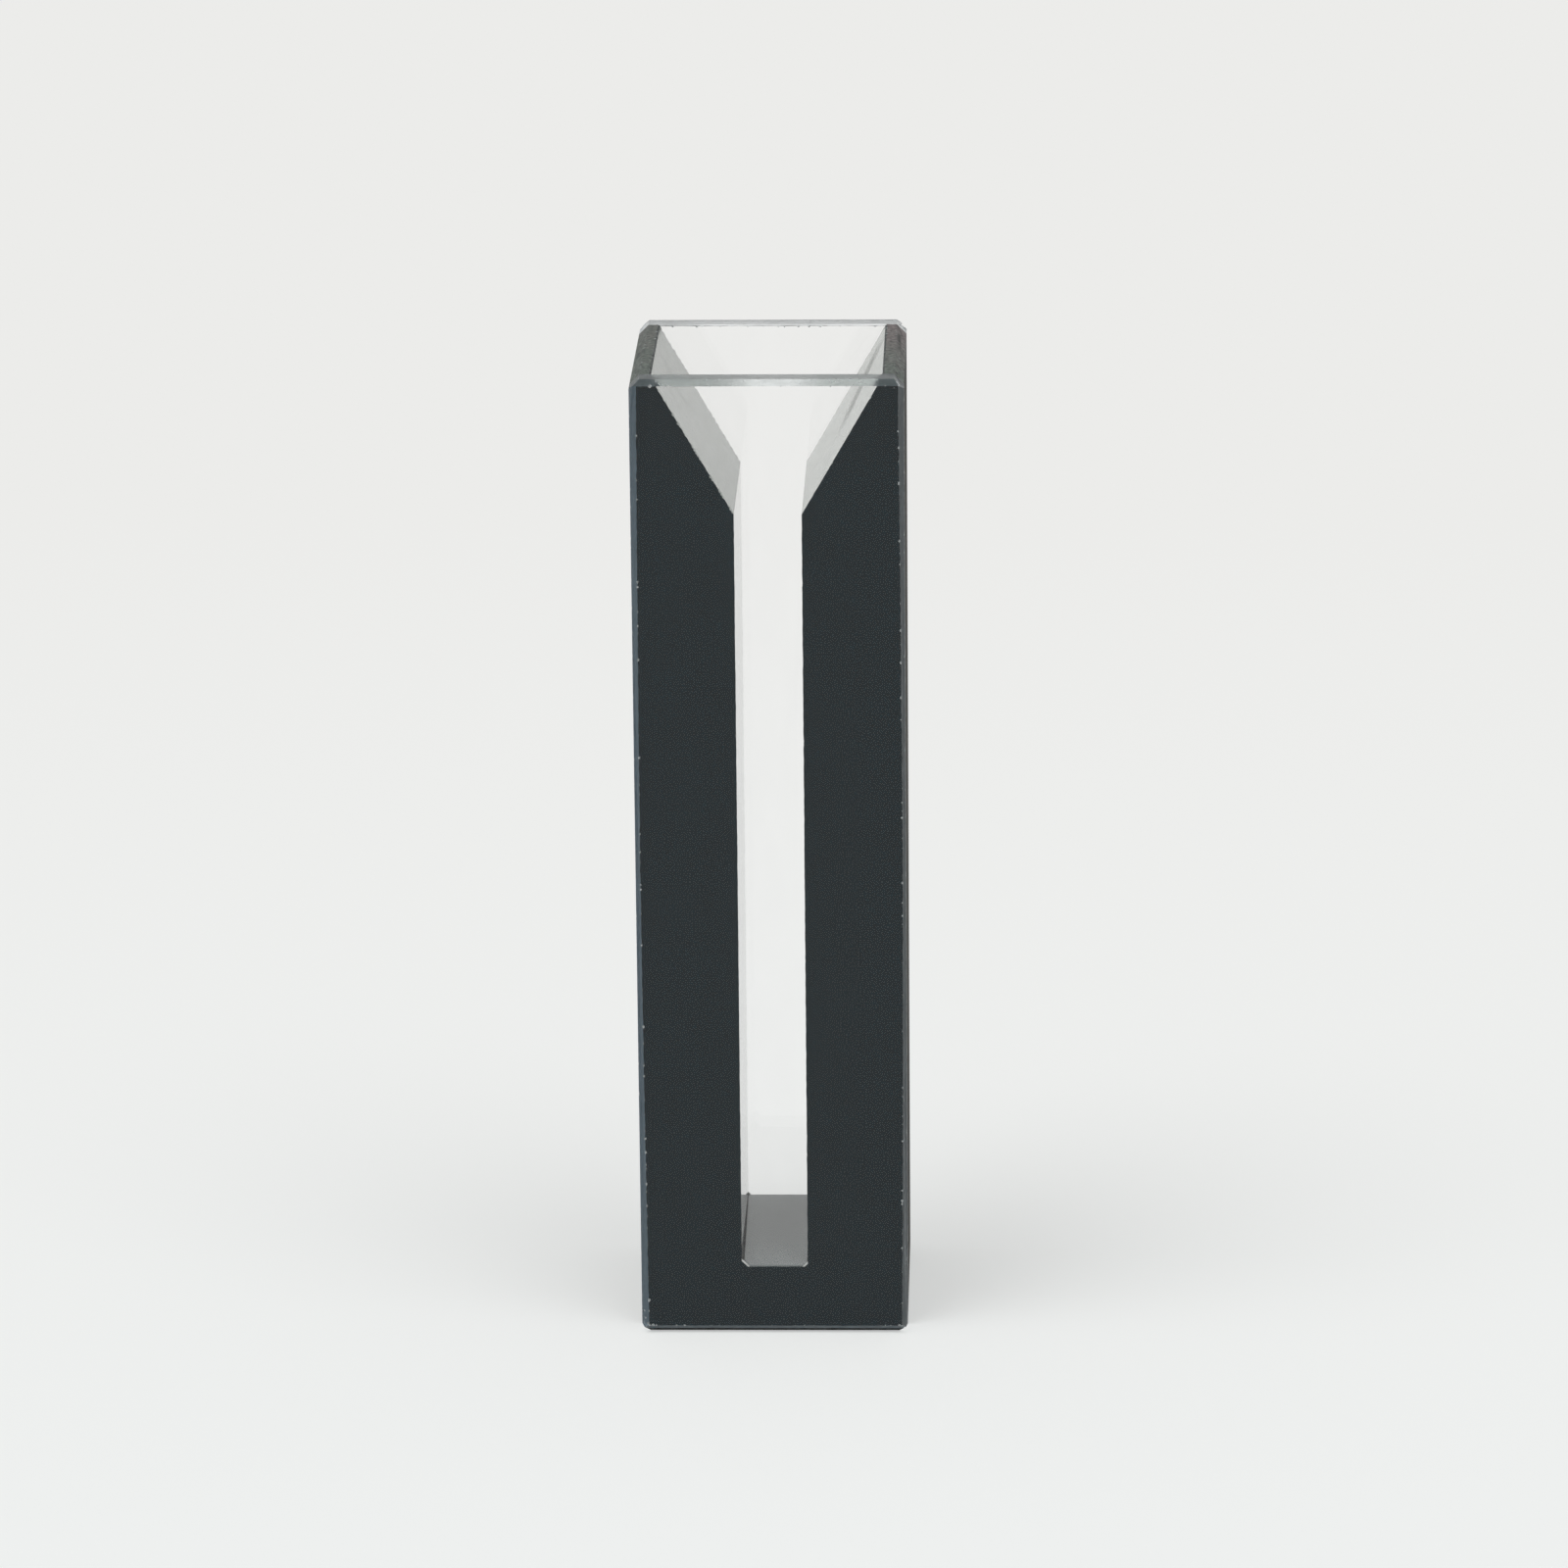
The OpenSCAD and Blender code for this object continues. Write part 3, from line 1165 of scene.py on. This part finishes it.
# the plainest chips: where they are, and the radius of the lump each was cut with
SPOTS = {
    "front_window_glass": (
        (-6.15, -6.04, 1.07, 0.06),
        (-6.09, -6.1, 0.73, 0.07),
        (-5.98, -6.2, 0.48, 0.08),
        (-5.73, -6.26, 0.41, 0.09),
        (-4.62, -6.26, 0.38, 0.07),
        (-5.27, -6.27, 45.76, 0.11),
        (-5.94, -6.01, 45.88, 0.08),
        (5.95, -6.08, 45.88, 0.08),
        (6.07, -6.14, 45.7, 0.08),
        (6.03, -6.26, 1.52, 0.07),
        (6.2, -6.07, 3.75, 0.06),
        (6.17, -6.1, 3.62, 0.05),
        (6.2, -6.07, 3.47, 0.07),
        (6.17, -6.1, 3.3, 0.06),
        (6.16, -6.11, 3.12, 0.05),
        (6.18, -6.09, 2.95, 0.06),
    ),
    "rear_window_glass": (),
    "left_wall_quartz": ((-5.8, -3.6, 46.02, 0.08), (-6.03, -4.1, 45.81, 0.08)),
    "right_wall_quartz": ((6.02, -1.15, 45.82, 0.08),),
}
# darker, duller streaks on the left and right slope: their ends, width and strength
SMEARS = {
    -1: (
        ((0, 1.3, 45.8), (0, -0.4, 44.3), 0.7, 0.15),
        ((0, -0.4, 44.6), (0, 0.5, 43.1), 0.7, 0.2),
        ((0, -2.0, 44.7), (0, -2.3, 43.6), 0.6, 0.2),
    ),
    1: (((0, 3.3, 45.8), (0, -1.2, 42.4), 1.2, 0.45),),
}
# smears on the tops of the walls
LAND_SMEARS = (
    ((5.93, 3.8, 0), (5.96, 1.4, 0), 0.17, 0.9),
    ((5.98, 1.1, 0), (5.95, 0.4, 0), 0.12, 0.7),
    ((5.95, -2.6, 0), (5.93, -3.2, 0), 0.12, 0.7),
    ((5.92, -4.2, 0), (5.9, -4.7, 0), 0.15, 0.9),
    ((-5.9, 0.3, 0), (-5.75, -0.9, 0), 0.25, 0.6),
)


class CELL_OT_windows(bpy.types.Operator):
    """Make both clear windows, with their fused seats and ground edges"""

    bl_idname = "cell.windows"
    bl_label = "Clear windows"

    def execute(self, context):
        hues, shape = context.scene.cell_colours, Shape(context.scene)
        materials = [polished_clear_quartz(hues)]
        # name, colours at the left and right end, clearness, and what else differs
        for name, ends, clear, more in (
            ("ground_clear", [hues.ground] * 2, 0.94, {"shine": 0.3}),
            ("fine_ground", [hues.top_bevel] * 2, 0.97, {"smoothest": 0.27}),
            (
                "worn_clear",
                (hues.left_bevel, hues.right_bevel),
                0.88,
                {"lines": (1, 1, 0.08)},
            ),
            ("foot_clear", [hues.base_bevel] * 2, 0.92, {"shine": 0.35}),
        ):
            name += "_quartz"
            materials.append(
                ground_clear_quartz(name, hues.sheen, *ends, clear, **more)
            )
        materials += [foot_shade_quartz(hues), fused_black_joint(hues), fused_bead(hues)]
        chip = chipped_quartz("chipped_clear_quartz", hues.chip_clear, 0.42)
        for cad_node, end in (("front_window", FRONT), ("rear_window", REAR)):
            name, bm = cad_node + "_glass", window_mesh(shape, end)
            obj = chipped_piece(name, bm, materials, (JOINT, BEAD), shape, end, chip)
            dress(obj, cad_node)
        return {"FINISHED"}


class CELL_OT_walls(bpy.types.Operator):
    """Make both black side walls, with the funnel's slopes and the slot's sides"""

    bl_idname = "cell.walls"
    bl_label = "Black side walls"

    def execute(self, context):
        hues, shape = context.scene.cell_colours, Shape(context.scene)
        ground = ground_black_quartz(hues)
        polished, land = polished_black_quartz(hues), worn_black_quartz(hues)
        shared = [polished, land, ground, black_arris(hues), ground]
        chip = chipped_quartz("chipped_black_quartz", hues.chip_black, 0.0)
        # each slope's colour: the right one's is paler as painted light
        for cad_node, side, hue in (
            ("left_wall", -1, hues.lapped_left),
            ("right_wall", 1, hues.lapped_right),
        ):
            lapped = lapped_black_quartz(
                "lapped_black_" + cad_node, hue, hue, hues.smear, 0.1, SMEARS[side]
            )
            name, bm = cad_node + "_quartz", wall_mesh(shape, side)
            materials, seed = [lapped, *shared], 40 + side
            obj = chipped_piece(name, bm, materials, (HIDDEN,), shape, seed, chip)
            dress(obj, cad_node)
        return {"FINISHED"}


class CELL_OT_floor(bpy.types.Operator):
    """Make the black block that closes the slot at the bottom"""

    bl_idname = "cell.floor"
    bl_label = "Black floor block"

    def execute(self, context):
        hues = context.scene.cell_colours
        bm = floor_mesh(Shape(context.scene))
        ends = hues.floor_front, hues.floor
        materials = [
            lapped_black_quartz(
                "lapped_black_floor", *ends, hues.smear, 0.08, shine=0.57
            ),
            bpy.data.materials["black_quartz_arris"],
            bpy.data.materials["ground_black_quartz"],
        ]
        obj = piece_of("floor_block_quartz", bm, materials)
        obj.data.transform(TO_METRES)
        dress(obj, "floor_block")
        return {"FINISHED"}


class CELL_OT_stage(bpy.types.Operator):
    """Make the pale floor, the soft light and the camera"""

    bl_idname = "cell.stage"
    bl_label = "Stage"

    def execute(self, context):
        scene = context.scene
        stage = scene.cell_stage
        add_floor(stage)
        add_light(scene, stage)
        add_camera(scene)
        scene.view_settings.view_transform = "Standard"
        return {"FINISHED"}


def add_floor(stage):
    """A flat pale floor that reaches past the camera's view."""
    bm = bmesh.new()
    bmesh.ops.create_grid(bm, x_segments=1, y_segments=1, size=2.0)
    bmesh.ops.translate(bm, vec=(0, 0, -0.01 / MM), verts=bm.verts[:])
    card = pale_card(stage.near_floor, stage.floor, stage.glow)
    piece_of("pale_floor", bm, [card])


def towards(azimuth, elevation):
    """The way to a place, from its azimuth to the front's right and its elevation."""
    level = math.cos(elevation)
    return Vector(
        (math.sin(azimuth) * level, -math.cos(azimuth) * level, math.sin(elevation))
    )


# name, azimuth, elevation, share of the light, and angle across, in degrees
LAMPS = (
    ("left_softbox", -55, 61, 0.31, 36),
    ("right_softbox", 46, 61, 0.215, 36),
)


def add_light(scene, stage):
    """Two broad soft lamps in front and a dim even room: together, plain light."""
    room = 1.0
    for name, azimuth, elevation, share, across in LAMPS:
        azimuth, elevation = math.radians(azimuth), math.radians(elevation)
        room -= share
        lamp = bpy.data.lights.new(name, "SUN")
        lamp.energy = stage.light * share * math.pi / math.sin(elevation)
        lamp.angle = math.radians(across)
        way = towards(azimuth, elevation)
        linked(name, lamp).rotation_euler = way.to_track_quat("Z", "Y").to_euler()
    world = bpy.data.worlds.new("pale_room")
    world.use_nodes = True
    world.cycles.sampling_method = "NONE"
    tree = world.node_tree
    tree.nodes.clear()
    dim = {"Color": (1, 1, 1, 1), "Strength": stage.light * room}
    pale = {"Color": rgba(stage.room), "Strength": 1.0}
    dim, pale = (node(tree, "ShaderNodeBackground", kind) for kind in (dim, pale))
    mix = node(tree, "ShaderNodeMixShader", (seen_directly(tree), dim, pale))
    node(tree, "ShaderNodeOutputWorld", {"Surface": mix})
    scene.world = world


# what the camera looks at and how far it is from that, in millimetres, and its
# azimuth, elevation and roll in degrees
CAMERA_TARGET, CAMERA_DISTANCE = (0.481, 0, 25.092), 355.68
CAMERA_TURN = (1.636, 16.445, -0.518)
SENSOR_WIDTH, FOCAL_LENGTH = 36.0, 174.23325


def add_camera(scene):
    """A long lens a third of a metre away, from a little above the front."""
    azimuth, elevation, roll = (math.radians(a) for a in CAMERA_TURN)
    back = towards(azimuth, elevation)
    right = (-back).cross(Vector((0, 0, 1))).normalized()
    up = right.cross(-back)
    across = math.cos(roll) * right + math.sin(roll) * up
    upward = math.cos(roll) * up - math.sin(roll) * right
    camera = bpy.data.cameras.new("front_camera")
    camera.sensor_width = SENSOR_WIDTH
    camera.lens = FOCAL_LENGTH
    camera.clip_start = 0.01
    obj = linked("front_camera", camera)
    turn = Matrix((across, upward, back)).transposed().to_4x4()
    place = Vector(CAMERA_TARGET) / MM + back * (CAMERA_DISTANCE / MM)
    obj.matrix_world = Matrix.Translation(place) @ turn
    scene.camera = obj


class CELL_PT_cell(bpy.types.Panel):
    """The cell's sizes, wear and colours, and its operators"""

    bl_label = "Quartz cell"
    bl_space_type = "VIEW_3D"
    bl_region_type = "UI"
    bl_category = "Cell"

    def draw(self, context):
        for group in GROUPS:
            box = self.layout.box()
            held = getattr(context.scene, group)
            for name in held.bl_rna.properties.keys():
                if name not in ("rna_type", "name"):
                    box.prop(held, name)
        for operator in OPERATORS:
            self.layout.operator(operator.bl_idname)


OPERATORS = (CELL_OT_windows, CELL_OT_walls, CELL_OT_floor, CELL_OT_stage)
GROUPS = {
    "cell_sizes": CellSizes,
    "cell_wear": CellWear,
    "cell_colours": CellColours,
    "cell_stage": CellStage,
}
CLASSES = (*GROUPS.values(), *OPERATORS, CELL_PT_cell)


def register():
    for made in CLASSES:
        bpy.utils.register_class(made)
    for name, group in GROUPS.items():
        setattr(bpy.types.Scene, name, PointerProperty(type=group))


def unregister():
    for name in GROUPS:
        delattr(bpy.types.Scene, name)
    for made in reversed(CLASSES):
        bpy.utils.unregister_class(made)


def main():
    register()
    for operator in OPERATORS:
        getattr(bpy.ops.cell, operator.bl_idname.split(".")[1])()


if __name__ == "__main__":
    main()
